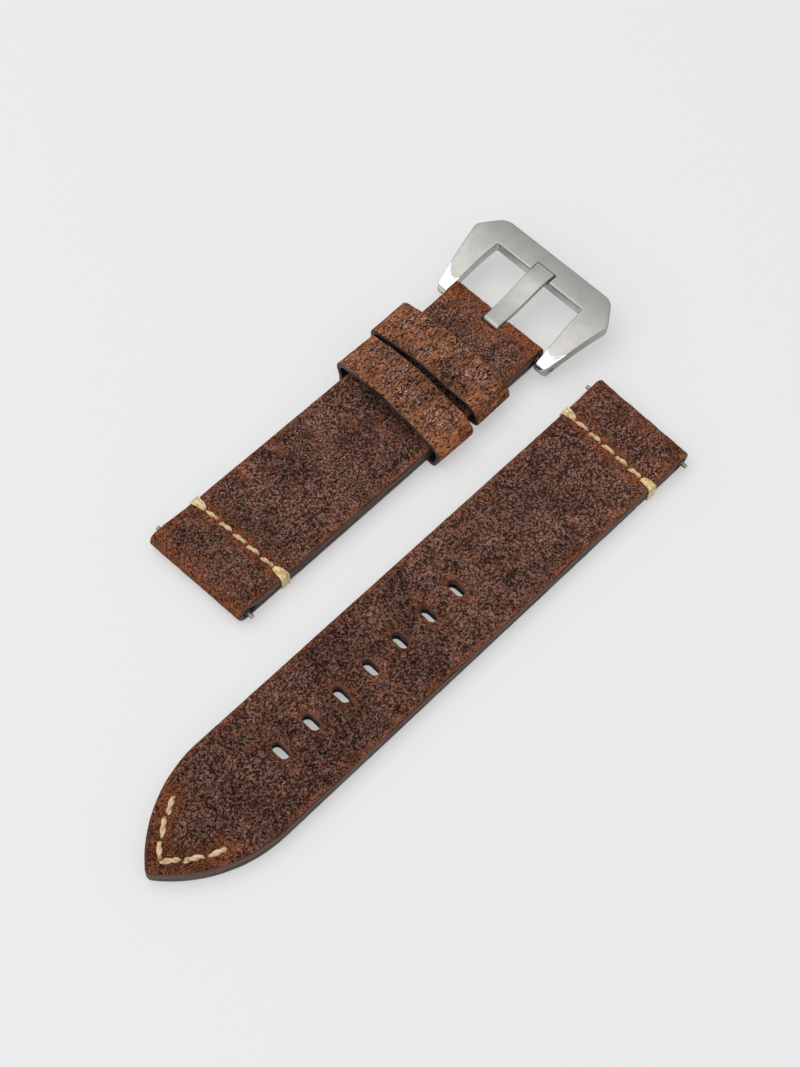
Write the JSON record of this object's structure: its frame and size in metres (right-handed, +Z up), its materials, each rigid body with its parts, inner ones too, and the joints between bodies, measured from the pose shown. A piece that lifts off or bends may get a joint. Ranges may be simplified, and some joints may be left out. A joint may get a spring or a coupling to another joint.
{
  "type": "leather watch strap",
  "caption": "Two-piece stitched leather watch strap with a steel pin buckle, a fixed and a sliding keeper and spring bars in its lug ends.",
  "frame": {"origin": "centre of the footprint, on the surface the strap lies on", "axes": "+X along the strap towards the buckle, +Y across it from the tail half to the buckle half, +Z up"},
  "size_m": [0.135, 0.0622, 0.0086],
  "materials": {
    "strap_leather": "dark brown waxed leather, fine crackle and hair scratches, burnished edge",
    "keeper_leather": "brown waxed leather, lighter at the bends, pale cut edges",
    "lining_leather": "matte brown leather",
    "thread": "thick twisted cream thread, waxed",
    "buckle_steel": "satin with polished ends and edges",
    "bar_steel": "plain turned steel"
  },
  "bodies": {
    "buckle_half": {"buckle_side_upper_leather": "strap_leather", "buckle_side_lining": "lining_leather", "buckle_side_lug_stitches": "thread", "fixed_keeper": "keeper_leather", "fixed_keeper_stitches": "thread", "lug_bar_tube": "bar_steel", "lug_bar_spring": "bar_steel", "buckle_bar_tube": "bar_steel", "buckle_bar_spring": "bar_steel"},
    "tail_half": {"tail_upper_leather": "strap_leather", "tail_lining": "lining_leather", "tail_lug_stitches": "thread", "tail_tip_stitches": "thread", "tail_bar_tube": "bar_steel", "tail_bar_spring": "bar_steel"},
    "free_keeper": {"free_keeper": "keeper_leather", "free_keeper_stitches": "thread"},
    "buckle_tongue": {"buckle_tongue": "buckle_steel"},
    "buckle_frame": {"buckle_frame": "buckle_steel"},
    "tail_bar_left_tip": {"tail_bar_left_tip": "bar_steel"},
    "tail_bar_right_tip": {"tail_bar_right_tip": "bar_steel"},
    "lug_bar_left_tip": {"lug_bar_left_tip": "bar_steel"},
    "lug_bar_right_tip": {"lug_bar_right_tip": "bar_steel"},
    "buckle_bar_left_tip": {"buckle_bar_left_tip": "bar_steel"},
    "buckle_bar_right_tip": {"buckle_bar_right_tip": "bar_steel"}
  },
  "joints": [
    {"name": "tail_half_slide", "type": "slide", "parent": "buckle_half", "child": "tail_half", "axis": [0, -1, 0], "range_m": [0, 0.06]},
    {"name": "free_keeper_slide", "type": "slide", "parent": "buckle_half", "child": "free_keeper", "axis": [0.9998, 0, 0.0222], "range_m": [-0.033, 0.0004]},
    {"name": "tongue_swing", "type": "hinge", "parent": "buckle_half", "child": "buckle_tongue", "pos_m": [0.04988, 0.0144, 0.00371], "axis": [0, -1, 0], "range_deg": [-60, 45]},
    {"name": "frame_swing", "type": "hinge", "parent": "buckle_tongue", "child": "buckle_frame", "pos_m": [0.04988, 0.0144, 0.00371], "axis": [0, -1, 0], "range_deg": [-90, 0]},
    {"name": "tail_bar_left_tip_slide", "type": "slide", "parent": "tail_half", "child": "tail_bar_left_tip", "axis": [0, 1, 0], "range_m": [0, 0.0012], "stiffness_N_per_m": 800, "deforming": ["tail_bar_spring"]},
    {"name": "tail_bar_right_tip_slide", "type": "slide", "parent": "tail_half", "child": "tail_bar_right_tip", "axis": [0, -1, 0], "range_m": [0, 0.0012], "stiffness_N_per_m": 800, "deforming": ["tail_bar_spring"]},
    {"name": "lug_bar_left_tip_slide", "type": "slide", "parent": "buckle_half", "child": "lug_bar_left_tip", "axis": [0, -1, 0], "range_m": [0, 0.0012], "stiffness_N_per_m": 800, "deforming": ["lug_bar_spring"]},
    {"name": "lug_bar_right_tip_slide", "type": "slide", "parent": "buckle_half", "child": "lug_bar_right_tip", "axis": [0, 1, 0], "range_m": [0, 0.0012], "stiffness_N_per_m": 800, "deforming": ["lug_bar_spring"]},
    {"name": "buckle_bar_left_tip_slide", "type": "slide", "parent": "buckle_half", "child": "buckle_bar_left_tip", "axis": [0, -1, 0], "range_m": [0, 0.00145], "stiffness_N_per_m": 800, "deforming": ["buckle_bar_spring"]},
    {"name": "buckle_bar_right_tip_slide", "type": "slide", "parent": "buckle_half", "child": "buckle_bar_right_tip", "axis": [0, 1, 0], "range_m": [0, 0.00145], "stiffness_N_per_m": 800, "deforming": ["buckle_bar_spring"]}
  ]
}
